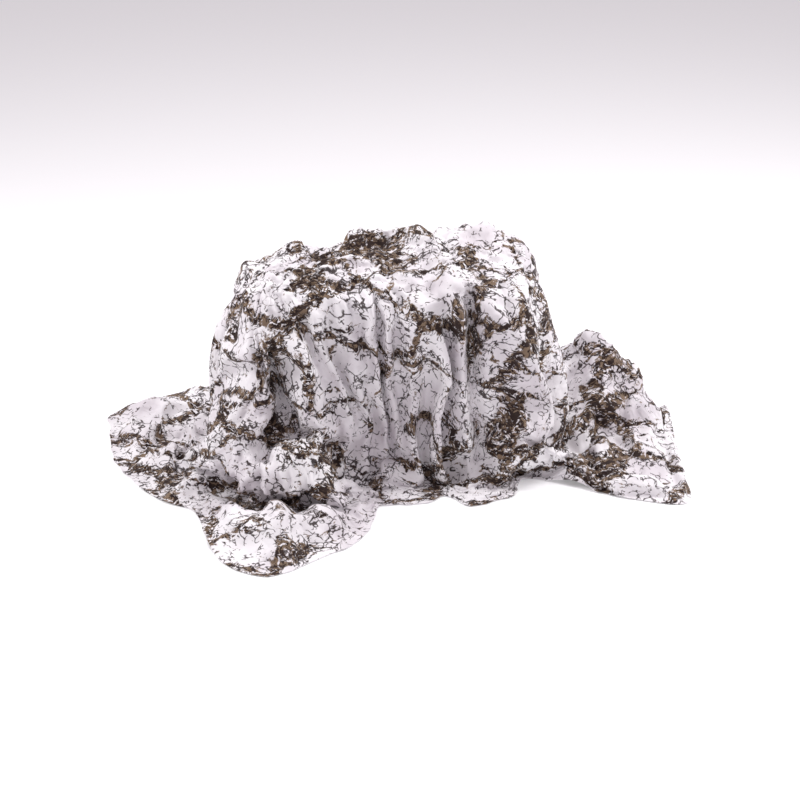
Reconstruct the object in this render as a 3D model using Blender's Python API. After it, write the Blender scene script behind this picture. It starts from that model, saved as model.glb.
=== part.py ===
"""A camouflage net cloth in its draped shape, hollow inside, with its hem lying on the floor.

The whole thing is one thin sheet. Its crown ends at a rim, its wall falls from the rim, and its apron runs
out over the floor in shelves, swells and flaps. Metres, +Z up, -Y is the front. The tables are in a frame
that has its origin on the floor near the middle of the crown, and the finished sheet is moved so that the
middle of its box is over the origin.
"""

from types import SimpleNamespace

import bpy
import numpy as np
from mathutils import Vector, noise

THICKNESS = 0.002

# The rim: a rectangle with round corners. A side position counts it in sides from its front left corner: 0
# to 1 is the front, 1 to 2 the right, 2 to 3 the back and 3 to 4 the left. A round corner takes
# CORNER_SHARE of each side.
RIM_LEFT, RIM_RIGHT = -0.320, 0.245
RIM_FRONT, RIM_BACK = -0.130, 0.130
RIM_MIDDLE = np.array([(RIM_LEFT + RIM_RIGHT) / 2, (RIM_FRONT + RIM_BACK) / 2])
RIM_RADIUS = 0.065
CORNER_SHARE = 0.12

# The rim's height at its corners: front left, front right, back right, back left.
RIM_HEIGHTS = (0.444, 0.428, 0.464, 0.426)

# How far the crown swells over the rim, and how far out and down the shoulder goes below it.
CROWN_RISE = 0.018
SHOULDER_OUT, SHOULDER_DROP = 0.022, 0.030

# The crumpling: the size of its facets, and how far its creases go in.
CRUMPLE_SIZE, CRUMPLE_DEPTH = 0.085, 0.015

# How many faces the crown has across and deep, and how much closer they lie towards its front left corner,
# where the skirt has most folds.
CROWN_ACROSS, CROWN_DEEP = 37, 17
CROWDING = 0.5

# For each stretch of the skirt from the rim down: how many rows of faces it has, and how much of the
# crumpling.
STRETCHES = {
    "shoulder": (2, 1.0),
    "waist": (3, 1.0),
    "knee": (3, 0.8),
    "lip": (3, 0.4),
    "tuck": (3, 0.1),
    "swell": (3, 0.5),
    "hem": (4, 0.0),
}

# Whatever would hang less than SETTLE over the floor lies on it. So does the outer HEM_LIES of the hem's
# stretch.
SETTLE = 0.003
HEM_LIES = 0.25

# A row for each section of the skirt, going round from the front left corner.
# heading: which way the section runs out from the rim, in degrees from +X.
# knee: where the wall ends. lip: the edge of the shelf that the cloth makes there. tuck: the hollow that it
# goes back to under the shelf. swell: the apron's rise half way to the hem. Outs are distances from the
# rim.
SECTION_COLUMNS = (
    "side", "heading", "knee_out", "knee_z", "lip_out", "lip_z", "tuck_out", "tuck_z", "swell_z", "hem_out",
)
SECTIONS = (
    (0.00, 248, 0.080, 0.150, 0.155, 0.071, 0.100, 0.016, 0.020, 0.255),
    (0.05, 258, 0.085, 0.150, 0.172, 0.072, 0.118, 0.014, 0.038, 0.345),
    (0.10, 270, 0.075, 0.145, 0.180, 0.072, 0.128, 0.014, 0.046, 0.394),
    (0.16, 280, 0.070, 0.145, 0.180, 0.070, 0.132, 0.014, 0.042, 0.345),
    (0.22, 291, 0.070, 0.120, 0.178, 0.055, 0.130, 0.014, 0.036, 0.290),
    (0.28, 297, 0.065, 0.085, 0.135, 0.040, 0.130, 0.018, 0.016, 0.225),
    (0.34, 299, 0.055, 0.040, 0.088, 0.022, 0.108, 0.012, 0.010, 0.155),
    (0.45, 289, 0.050, 0.030, 0.070, 0.015, 0.090, 0.010, 0.014, 0.130),
    (0.60, 286, 0.050, 0.025, 0.065, 0.012, 0.080, 0.008, 0.014, 0.110),
    (0.70, 287, 0.045, 0.030, 0.055, 0.015, 0.065, 0.010, 0.008, 0.086),
    (0.76, 281, 0.045, 0.035, 0.060, 0.018, 0.080, 0.012, 0.012, 0.130),
    (0.84, 287, 0.050, 0.060, 0.075, 0.035, 0.070, 0.014, 0.010, 0.100),
    (0.91, 292, 0.060, 0.100, 0.092, 0.060, 0.036, 0.022, 0.008, 0.064),
    (0.98, 307, 0.075, 0.105, 0.105, 0.065, 0.028, 0.024, 0.008, 0.060),
    (1.05, 317, 0.090, 0.085, 0.120, 0.055, 0.056, 0.022, 0.008, 0.086),
    (1.12, 319, 0.105, 0.065, 0.125, 0.040, 0.104, 0.018, 0.008, 0.160),
    (1.20, 320, 0.115, 0.055, 0.140, 0.036, 0.165, 0.020, 0.012, 0.245),
    (1.28, 322, 0.120, 0.045, 0.165, 0.035, 0.200, 0.024, 0.024, 0.316),
    (1.36, 327, 0.125, 0.045, 0.180, 0.040, 0.235, 0.030, 0.024, 0.406),
    (1.45, 339, 0.125, 0.060, 0.180, 0.050, 0.240, 0.036, 0.030, 0.375),
    (1.60, 356, 0.125, 0.090, 0.185, 0.075, 0.235, 0.050, 0.040, 0.356),
    (1.75, 367, 0.122, 0.140, 0.190, 0.140, 0.240, 0.085, 0.046, 0.362),
    (1.88, 380, 0.120, 0.168, 0.190, 0.184, 0.262, 0.130, 0.046, 0.372),
    (2.00, 395, 0.115, 0.154, 0.180, 0.164, 0.240, 0.080, 0.030, 0.325),
    (2.12, 422, 0.095, 0.080, 0.130, 0.050, 0.160, 0.025, 0.012, 0.220),
    (2.30, 442, 0.070, 0.030, 0.100, 0.018, 0.125, 0.012, 0.012, 0.185),
    (2.50, 450, 0.060, 0.025, 0.090, 0.015, 0.115, 0.010, 0.010, 0.165),
    (2.70, 457, 0.070, 0.025, 0.100, 0.015, 0.130, 0.012, 0.012, 0.190),
    (2.88, 478, 0.085, 0.030, 0.120, 0.018, 0.160, 0.014, 0.015, 0.250),
    (3.00, 501, 0.100, 0.040, 0.140, 0.025, 0.190, 0.014, 0.012, 0.290),
    (3.15, 518, 0.115, 0.050, 0.170, 0.022, 0.220, 0.016, 0.018, 0.350),
    (3.40, 527, 0.120, 0.075, 0.170, 0.022, 0.220, 0.018, 0.020, 0.334),
    (3.65, 541, 0.120, 0.095, 0.165, 0.028, 0.200, 0.018, 0.020, 0.298),
    (3.80, 561, 0.118, 0.115, 0.160, 0.045, 0.170, 0.022, 0.018, 0.262),
    (3.90, 584, 0.100, 0.125, 0.150, 0.060, 0.140, 0.026, 0.018, 0.234),
    (3.96, 600, 0.085, 0.145, 0.150, 0.071, 0.105, 0.018, 0.018, 0.212),
)

# A row for each fold that runs down the wall: its side position, its half width, how far it stands out, or
# in if negative, the heights between which it shows, and how far it drifts along the rim on its way down.
PLEAT_COLUMNS = ("side", "half_width", "out", "top_z", "bottom_z", "drift")
PLEATS = (
    (0.010, 0.022, 0.022, 0.43, 0.08, -0.010),
    (0.085, 0.036, -0.050, 0.37, 0.09, 0.012),
    (0.158, 0.020, 0.034, 0.38, 0.08, 0.045),
    (0.225, 0.020, -0.020, 0.40, 0.06, 0.045),
    (0.280, 0.018, 0.012, 0.43, 0.04, 0.030),
    (0.350, 0.020, -0.010, 0.43, 0.03, 0.010),
    (0.450, 0.020, 0.020, 0.46, 0.03, 0.010),
    (0.495, 0.018, -0.026, 0.46, 0.05, 0.010),
    (0.548, 0.018, 0.018, 0.44, 0.04, 0.010),
    (0.600, 0.018, -0.016, 0.45, 0.04, 0.015),
    (0.655, 0.020, 0.018, 0.42, 0.05, 0.015),
    (0.710, 0.018, -0.014, 0.46, 0.04, 0.020),
    (0.760, 0.020, 0.024, 0.46, 0.10, 0.020),
    (0.812, 0.020, -0.026, 0.42, 0.05, 0.025),
    (0.885, 0.030, 0.014, 0.40, 0.12, 0.000),
    (1.020, 0.026, 0.014, 0.40, 0.10, 0.000),
    (1.200, 0.026, -0.016, 0.38, 0.08, 0.000),
    (1.450, 0.028, 0.012, 0.40, 0.12, 0.000),
    (1.700, 0.028, -0.018, 0.40, 0.16, 0.000),
    (2.150, 0.028, 0.022, 0.42, 0.08, 0.000),
    (2.330, 0.026, -0.020, 0.43, 0.03, 0.010),
    (2.480, 0.024, 0.018, 0.44, 0.03, -0.010),
    (2.620, 0.026, -0.022, 0.44, 0.03, 0.010),
    (2.780, 0.026, 0.020, 0.42, 0.03, 0.000),
    (3.050, 0.026, -0.018, 0.40, 0.06, 0.000),
    (3.300, 0.028, 0.016, 0.38, 0.08, 0.000),
    (3.600, 0.028, -0.016, 0.38, 0.09, 0.000),
    (3.800, 0.026, 0.014, 0.38, 0.10, 0.000),
)

# A row for each ridge that lies in the crown or on the apron: its two ends in plan, its half width and its
# height.
RIDGE_COLUMNS = ("x0", "y0", "x1", "y1", "half_width", "height")
CROWN_RIDGES = (
    (-0.26, -0.04, -0.12, 0.05, 0.020, 0.012),
    (-0.20, 0.10, -0.14, 0.12, 0.022, 0.016),
    (-0.10, 0.08, 0.02, 0.12, 0.024, 0.024),
    (-0.16, -0.07, 0.02, 0.01, 0.022, 0.014),
    (0.02, 0.11, 0.06, 0.02, 0.024, 0.026),
    (0.06, 0.02, 0.10, -0.13, 0.022, 0.024),
    (0.08, 0.10, 0.19, 0.10, 0.036, 0.030),
    (0.12, 0.00, 0.21, 0.03, 0.024, 0.010),
)
APRON_RIDGES = (
    (-0.44, 0.14, -0.60, 0.20, 0.030, 0.022),
    (-0.42, 0.02, -0.60, 0.06, 0.026, 0.018),
    (-0.42, -0.08, -0.55, -0.10, 0.024, 0.018),
    (-0.40, -0.16, -0.46, -0.22, 0.020, 0.014),
    (-0.24, -0.30, -0.21, -0.46, 0.024, 0.028),
    (-0.32, -0.34, -0.35, -0.42, 0.024, 0.014),
    (-0.14, -0.34, -0.12, -0.40, 0.022, 0.016),
    (0.40, -0.01, 0.56, 0.06, 0.028, 0.026),
    (0.38, -0.07, 0.54, -0.03, 0.026, 0.020),
    (0.44, -0.15, 0.56, -0.18, 0.028, 0.012),
    (0.30, 0.24, 0.42, 0.28, 0.026, 0.016),
    (-0.20, 0.22, -0.26, 0.30, 0.026, 0.016),
    (-0.42, 0.20, -0.48, 0.28, 0.028, 0.018),
)

# A row for each lump of gathered cloth on the shelves round the foot of the wall: its place in plan, its
# half width and how far it stands over the shelf.
HEAP_COLUMNS = ("x", "y", "half_width", "height")
HEAPS = (
    (-0.350, -0.205, 0.040, 0.040),
    (-0.290, -0.265, 0.030, 0.030),
    (-0.205, -0.240, 0.042, 0.062),
    (-0.150, -0.265, 0.026, 0.018),
    (0.285, -0.165, 0.032, 0.024),
    (0.345, -0.110, 0.032, 0.024),
    (0.385, 0.000, 0.030, 0.030),
    (0.420, 0.145, 0.045, 0.030),
    (0.480, 0.120, 0.025, 0.030),
)


def named(names, rows):
    """A table's rows, with a name for each of their values."""
    return [SimpleNamespace(**dict(zip(names, row, strict=True))) for row in rows]


def smooth(low, high, value):
    """0 below low, 1 above high, and an even slope between them."""
    share = np.clip((value - low) / (high - low), 0, 1)
    return share * share * (3 - 2 * share)


def hermite(start, end, slope_0, slope_1, share):
    """The cubic curve between two values with these slopes."""
    square, cube = share**2, share**3
    return (
        start * (2 * cube - 3 * square + 1)
        + slope_0 * (cube - 2 * square + share)
        + end * (3 * square - 2 * cube)
        + slope_1 * (cube - square)
    )


def round_the_rim(name, side):
    """The sections' column of this name at each of these side positions, along a smooth closed curve."""
    sections = named(SECTION_COLUMNS, SECTIONS)
    knots = np.array([section.side for section in sections])
    values = np.array([getattr(section, name) for section in sections], float)
    per_turn = 360 if name == "heading" else 0
    knots = np.concatenate([knots[-2:] - 4, knots, knots[:2] + 4])
    values = np.concatenate([values[-2:] - per_turn, values, values[:2] + per_turn])
    slopes = np.gradient(values, knots)
    index = np.clip(np.searchsorted(knots, side, side="right") - 1, 0, len(knots) - 2)
    step = knots[index + 1] - knots[index]
    share = (side - knots[index]) / step
    return hermite(values[index], values[index + 1], slopes[index] * step, slopes[index + 1] * step, share)


def rim_point(side):
    """The rim's place in plan at each of these side positions."""
    inner = np.array([(RIM_RIGHT - RIM_LEFT) / 2, (RIM_BACK - RIM_FRONT) / 2]) - RIM_RADIUS
    number, along = np.divmod(np.asarray(side, float) % 4, 1)
    straight = np.clip((along - CORNER_SHARE) / (1 - 2 * CORNER_SHARE), 0, 1) * 2 - 1
    # The outward direction turns through 45 degrees in the corner's share of either end of a side.
    bend = np.clip(1 - along / CORNER_SHARE, 0, 1) - np.clip(1 - (1 - along) / CORNER_SHARE, 0, 1)
    outward = np.radians(-90 + 90 * number - 45 * bend)
    # Going anticlockwise, a side runs a quarter turn on from the direction that it faces.
    facing = np.radians(-90 + 90 * number)
    reach = np.where(number % 2 == 0, inner[1], inner[0])
    run = straight * np.where(number % 2 == 0, inner[0], inner[1])
    x = reach * np.cos(facing) - run * np.sin(facing) + RIM_RADIUS * np.cos(outward)
    y = reach * np.sin(facing) + run * np.cos(facing) + RIM_RADIUS * np.sin(outward)
    return RIM_MIDDLE + np.stack([x, y], -1)


def ridge_height(x, y, ridges):
    """How high the highest of these ridges stands at each place."""
    height = np.zeros_like(x)
    for ridge in named(RIDGE_COLUMNS, ridges):
        run_x, run_y = ridge.x1 - ridge.x0, ridge.y1 - ridge.y0
        share = ((x - ridge.x0) * run_x + (y - ridge.y0) * run_y) / (run_x**2 + run_y**2)
        share = np.clip(share, 0, 1)
        away = np.hypot(x - ridge.x0 - share * run_x, y - ridge.y0 - share * run_y)
        height = np.maximum(height, ridge.height * np.exp(-((away / ridge.half_width) ** 2)))
    return height


def heap_height(x, y):
    """How high the heaps stand at each place."""
    height = np.zeros_like(x)
    for heap in named(HEAP_COLUMNS, HEAPS):
        height += heap.height * np.exp(-((np.hypot(x - heap.x, y - heap.y) / heap.half_width) ** 2))
    return height


def pleat_out(side, z, rim_z):
    """How far the pleats push the wall out, at each height and side position."""
    out = np.zeros_like(z)
    fallen = np.clip((rim_z - z) / rim_z, 0, 1)
    side_length = np.where(side % 2 < 1, RIM_RIGHT - RIM_LEFT, RIM_BACK - RIM_FRONT)
    for pleat in named(PLEAT_COLUMNS, PLEATS):
        away = ((side - pleat.side + 2) % 4 - 2) * side_length - pleat.drift * fallen
        show = smooth(0, 0.10, pleat.top_z - z) * smooth(-0.03, 0.03, z - pleat.bottom_z)
        out += pleat.out * show * np.exp(-((away / pleat.half_width) ** 2))
    return out


def crown_height(x, y, ring):
    """The crown's height in plan. ring is 0 at its middle and 1 at the rim."""
    front_left, front_right, back_right, back_left = RIM_HEIGHTS
    across = np.clip((x - RIM_LEFT) / (RIM_RIGHT - RIM_LEFT), 0, 1)
    back = np.clip((y - RIM_FRONT) / (RIM_BACK - RIM_FRONT), 0, 1)
    front_z = front_left + (front_right - front_left) * across
    back_z = back_left + (back_right - back_left) * across
    level = front_z + (back_z - front_z) * back
    return level + CROWN_RISE * (1 - ring**3) + ridge_height(x, y, CROWN_RIDGES) * (1 - 0.4 * ring**4)


def crown_points():
    """The crown's grid of points, front row first, and the side position that each lies towards."""
    across = np.linspace(-1, 1, CROWN_ACROSS + 1)
    deep = np.linspace(-1, 1, CROWN_DEEP + 1)
    a, b = np.meshgrid(across, deep)
    a, b = a - CROWDING * (1 - b) / 4 * (1 - a**2), b - CROWDING * (1 - a) / 4 * (1 - b**2)
    ring = np.maximum(abs(a), abs(b))
    safe = np.where(ring == 0, 1, ring)
    u, v = a / safe, b / safe
    sides = [(u + 1) / 2, 1 + (v + 1) / 2, 2 + (1 - u) / 2]
    side = np.select([v == -1, u == 1, v == 1], sides, 3 + (1 - v) / 2)
    place = RIM_MIDDLE + (rim_point(side) - RIM_MIDDLE) * ring[..., None]
    z = crown_height(place[..., 0], place[..., 1], ring)
    return np.concatenate([place, z[..., None]], -1), side


def border(grid):
    """The border of a grid, going round from its first corner to just before it."""
    return np.concatenate([grid[0, :-1], grid[:-1, -1], grid[-1, :0:-1], grid[:0:-1, 0]])


def skirt_knots(side, rim_z):
    """The skirt's knots at each side position, as (out, z) pairs: the rim, and the end of each stretch.

    One more before them and one after them only steer the curve, over the crown and past the hem."""
    at = {name: round_the_rim(name, side) for name in SECTION_COLUMNS[2:]}
    zero = np.zeros_like(rim_z)
    swell_out = (at["tuck_out"] + at["hem_out"]) / 2
    waist_out = SHOULDER_OUT + 0.45 * (at["knee_out"] - SHOULDER_OUT)
    knots = [
        (zero - 0.03, rim_z + 0.004),
        (zero, rim_z),
        (zero + SHOULDER_OUT, rim_z - SHOULDER_DROP),
        (waist_out, (rim_z + at["knee_z"]) / 2),
        (at["knee_out"], at["knee_z"]),
        (at["lip_out"], at["lip_z"]),
        (at["tuck_out"], at["tuck_z"]),
        (swell_out, at["swell_z"]),
        (at["hem_out"], zero + THICKNESS),
        (2 * at["hem_out"] - swell_out, zero + THICKNESS),
    ]
    return [np.stack(knot, -1) for knot in knots]


def skirt_profile(side, rim_z):
    """The skirt's rows from just under the rim to the hem, as (out, z) pairs at each side position."""
    knots = skirt_knots(side, rim_z)
    rows = []
    for step, (name, (count, _)) in enumerate(STRETCHES.items(), start=1):
        before, here, there, after = knots[step - 1 : step + 3]
        length = np.linalg.norm(there - here, axis=1, keepdims=True)
        slopes = []
        for slope in ((there - before) / 2, (after - here) / 2):
            # A slope far longer than its own stretch would make the curve loop.
            slopes.append(slope * np.minimum(1, 1.2 * length / np.linalg.norm(slope, axis=1, keepdims=True)))
        for share in np.arange(1, count + 1) / count:
            row = hermite(here, there, *slopes, share)
            if name == "hem":
                fallen = min(share / (1 - HEM_LIES), 1)
                row[:, 1] = hermite(here[:, 1], there[:, 1], slopes[0][:, 1], 0, fallen)
            rows.append(row)
    return np.stack(rows)


def skirt_points(side):
    """The skirt under the rim at each side position, as rows from just under the rim to the hem."""
    rim = rim_point(side)
    rim_z = crown_height(rim[:, 0], rim[:, 1], np.ones(len(side)))
    profile = skirt_profile(side, rim_z)
    z = profile[..., 1]
    out = profile[..., 0] + pleat_out(side, z, rim_z)
    heading = np.radians(round_the_rim("heading", side))
    x = rim[:, 0] + out * np.cos(heading)
    y = rim[:, 1] + out * np.sin(heading)
    waist, knee, lip, tuck = np.cumsum([count for count, _ in STRETCHES.values()])[1:5]
    row = np.arange(len(z))[:, None]
    z = z + heap_height(x, y) * smooth(waist, knee, row) * (1 - smooth(lip, tuck, row))
    z = z + ridge_height(x, y, APRON_RIDGES) * smooth(tuck - 1, tuck + 1, row)
    return np.stack([x, y, z], -1)


def split(points, quads):
    """The quads as triangles, cut along one diagonal, or along the other where it is clearly shorter."""
    a, b, c, d = np.array(quads).T
    one_way = np.linalg.norm(points[a] - points[c], axis=1)
    other_way = np.linalg.norm(points[b] - points[d], axis=1)
    first = one_way <= 1.1 * other_way
    one = np.where(first, [a, b, c], [a, b, d]).T
    two = np.where(first, [a, c, d], [b, c, d]).T
    return np.concatenate([one, two])


def outward_normals(points, triangles):
    a, b, c = points[triangles.T]
    across = np.cross(b - a, c - a)
    normals = np.zeros_like(points)
    for corner in triangles.T:
        np.add.at(normals, corner, across)
    return normals / np.linalg.norm(normals, axis=1, keepdims=True)


def crumpled(points, triangles, amount):
    """The points pushed in along the borders of a packing of cells in space, which leaves flat facets between
    creases."""
    push = np.zeros(len(points))
    for number, point in enumerate(points):
        near, second = noise.voronoi(Vector(point) / CRUMPLE_SIZE)[0][:2]
        push[number] = smooth(0, 0.45, second - near) - 0.6
    return points + outward_normals(points, triangles) * (CRUMPLE_DEPTH * amount * push)[:, None]


def sheet_mesh():
    """The sheet's outer surface as points and triangles."""
    crown, side = crown_points()
    deep, across = CROWN_DEEP + 1, CROWN_ACROSS + 1
    index = np.arange(deep * across).reshape(deep, across)
    rows = skirt_points(border(side))
    around = rows.shape[1]
    rings = [border(index)] + [deep * across + around * n + np.arange(around) for n in range(len(rows))]
    quads = [
        (index[j, i], index[j, i + 1], index[j + 1, i + 1], index[j + 1, i])
        for j in range(deep - 1)
        for i in range(across - 1)
    ]
    for inner, outer in zip(rings, rings[1:]):
        quads += zip(inner, outer, np.roll(outer, -1), np.roll(inner, -1))
    points = np.concatenate([crown.reshape(-1, 3), rows.reshape(-1, 3)])
    ends = np.cumsum([count for count, _ in STRETCHES.values()])
    share = np.interp(np.arange(len(rows)) + 1, ends, [amount for _, amount in STRETCHES.values()])
    amount = np.concatenate([np.ones(deep * across), np.repeat(share, around)])
    points = crumpled(points, split(points, quads), amount)
    points[:, 2] = THICKNESS + np.maximum(points[:, 2] - THICKNESS - SETTLE, 0)
    return points, split(points, quads)


def thick(points, triangles):
    """The closed sheet that has this surface as its outer face, and its thickness under it."""
    inner = points - outward_normals(points, triangles) * THICKNESS
    inner[:, 2] = np.where(points[:, 2] <= THICKNESS, 0, np.maximum(inner[:, 2], 0))
    number = len(points)
    edges = {(here, there) for a, b, c in triangles.tolist() for here, there in ((a, b), (b, c), (c, a))}
    faces = triangles.tolist() + (triangles[:, ::-1] + number).tolist()
    for here, there in sorted(edges):
        if (there, here) not in edges:
            faces += [(there, here, number + here), (there, number + here, number + there)]
    return np.concatenate([points, inner]), faces


def centred(points):
    """The points with the middle of their box over the origin."""
    middle = (points.min(0) + points.max(0)) / 2
    return points - np.array([middle[0], middle[1], 0.0])


def cloth_material():
    material = bpy.data.materials.new("snow_camouflage")
    material.use_nodes = True
    shader = material.node_tree.nodes["Principled BSDF"]
    shader.inputs["Base Color"].default_value = (0.62, 0.58, 0.56, 1)
    shader.inputs["Roughness"].default_value = 0.8
    shader.inputs["Metallic"].default_value = 0.0
    return material


def build_cloth():
    points, faces = thick(*sheet_mesh())
    mesh = bpy.data.meshes.new("camouflage_cloth")
    mesh.from_pydata(centred(points).tolist(), [], faces)
    mesh.validate()
    mesh.materials.append(cloth_material())
    cloth = bpy.data.objects.new("camouflage_cloth", mesh)
    bpy.context.scene.collection.objects.link(cloth)
    return cloth


for old in list(bpy.data.objects):
    bpy.data.objects.remove(old)
build_cloth()
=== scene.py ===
"""The looks of the draped snow camouflage cloth.

The cloth is one thin sheet. It starts on the same folds as its solid, in the same frame: a crown that ends at
a rim, a wall that falls from the rim, and an apron that runs out over the floor. It is then made a little
larger than the place it lies in and left to settle, so that the spare cloth gathers in creases of its own.
Its weave follows the flat cloth, and its print the place where each point started. Metres, +Z up, -Y is the
front.
"""

import math
from types import SimpleNamespace

import bpy
import numpy as np
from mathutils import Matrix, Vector, noise


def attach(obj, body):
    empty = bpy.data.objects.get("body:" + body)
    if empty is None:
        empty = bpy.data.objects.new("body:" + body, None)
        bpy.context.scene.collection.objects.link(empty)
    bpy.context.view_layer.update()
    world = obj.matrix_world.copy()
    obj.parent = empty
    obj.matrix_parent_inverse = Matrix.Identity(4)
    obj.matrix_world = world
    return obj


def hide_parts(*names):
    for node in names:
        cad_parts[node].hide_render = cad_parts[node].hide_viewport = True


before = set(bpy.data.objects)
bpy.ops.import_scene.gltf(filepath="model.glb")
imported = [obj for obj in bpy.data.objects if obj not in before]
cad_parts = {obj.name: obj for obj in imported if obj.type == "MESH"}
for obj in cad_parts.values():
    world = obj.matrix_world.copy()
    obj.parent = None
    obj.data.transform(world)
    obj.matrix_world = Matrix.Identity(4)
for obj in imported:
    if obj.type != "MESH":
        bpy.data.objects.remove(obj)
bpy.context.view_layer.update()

# ---------------------------------------------------------------- sizes and tables

# The sheet as it is cut.
FLAT_WIDTH, FLAT_LENGTH = 1.45, 1.90

# From the tables' frame, with its origin near the middle of the crown, to the middle of the cloth's box.
MIDDLE = np.array([-0.02692, -0.08524, 0.0])

# The outer face lies this high where the cloth lies on the floor.
FLOOR_GAP = 0.002

# The turned hem's width, and half the width of the furrow that its stitches pull in.
HEM_WIDTH, HEM_FURROW = 0.012, 0.0015

# How long the hem's small waves are, and how far in and out they go.
HEM_WAVE, HEM_UNEVEN = 0.030, 0.008

# The rim: a rectangle with round corners. A side position counts it in sides from its front left corner: 0
# to 1 is the front, 1 to 2 the right, 2 to 3 the back and 3 to 4 the left. A round corner takes
# CORNER_SHARE of each side.
RIM_LEFT, RIM_RIGHT = -0.312, 0.247
RIM_FRONT, RIM_BACK = -0.130, 0.130
RIM_MIDDLE = np.array([(RIM_LEFT + RIM_RIGHT) / 2, (RIM_FRONT + RIM_BACK) / 2])
RIM_RADIUS = 0.065
CORNER_SHARE = 0.12

# The rim's height at its corners: front left, front right, back right, back left.
RIM_HEIGHTS = (0.432, 0.428, 0.468, 0.412)

# How far the crown swells over the rim, and how far out and down the shoulder goes below it.
CROWN_RISE = 0.018
SHOULDER_OUT, SHOULDER_DROP = 0.022, 0.030

# The crumpling: the size of its facets and how far its creases go in, coarse and fine.
CRUMPLES = (
    (0.085, 0.007),
    (0.050, 0.005),
    (0.030, 0.003),
)

# The same for the small creases that are raised last.
FINE_CREASES = (
    (0.044, 0.0042),
    (0.028, 0.0026),
    (0.014, 0.0010),
)

# How many faces the crown has across and deep, and how much closer they lie towards its front left corner,
# where the skirt has most folds.
CROWN_ACROSS, CROWN_DEEP = 86, 40
CROWDING = 0.5

# A row for each stretch of the skirt from the rim down. rows: how many rows of faces it has. The others hold
# at its end. crumple: how much of the crumpling it gets. hold: how firmly it stays where the tables put it
# while it settles. spare: how much of the spare cloth it gets.
STRETCH_COLUMNS = ("name", "rows", "crumple", "hold", "spare")
STRETCHES = (
    ("shoulder", 4, 0.6, 0.50, 1.0),
    ("waist", 11, 0.3, 0.36, 0.8),
    ("knee", 11, 0.7, 0.36, 0.9),
    ("lip", 7, 1.8, 0.60, 1.0),
    ("tuck", 7, 0.8, 0.70, 0.9),
    ("swell", 8, 0.4, 0.66, 0.6),
    ("hem", 10, 0.3, 1.00, 0.3),
)
CROWN = SimpleNamespace(crumple=1.0, hold=0.66, spare=0.45)

# Whatever would hang less than SETTLE over the floor lies on it. So does the outer HEM_LIES of the hem's
# stretch.
SETTLE = 0.003
HEM_LIES = 0.25

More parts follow.
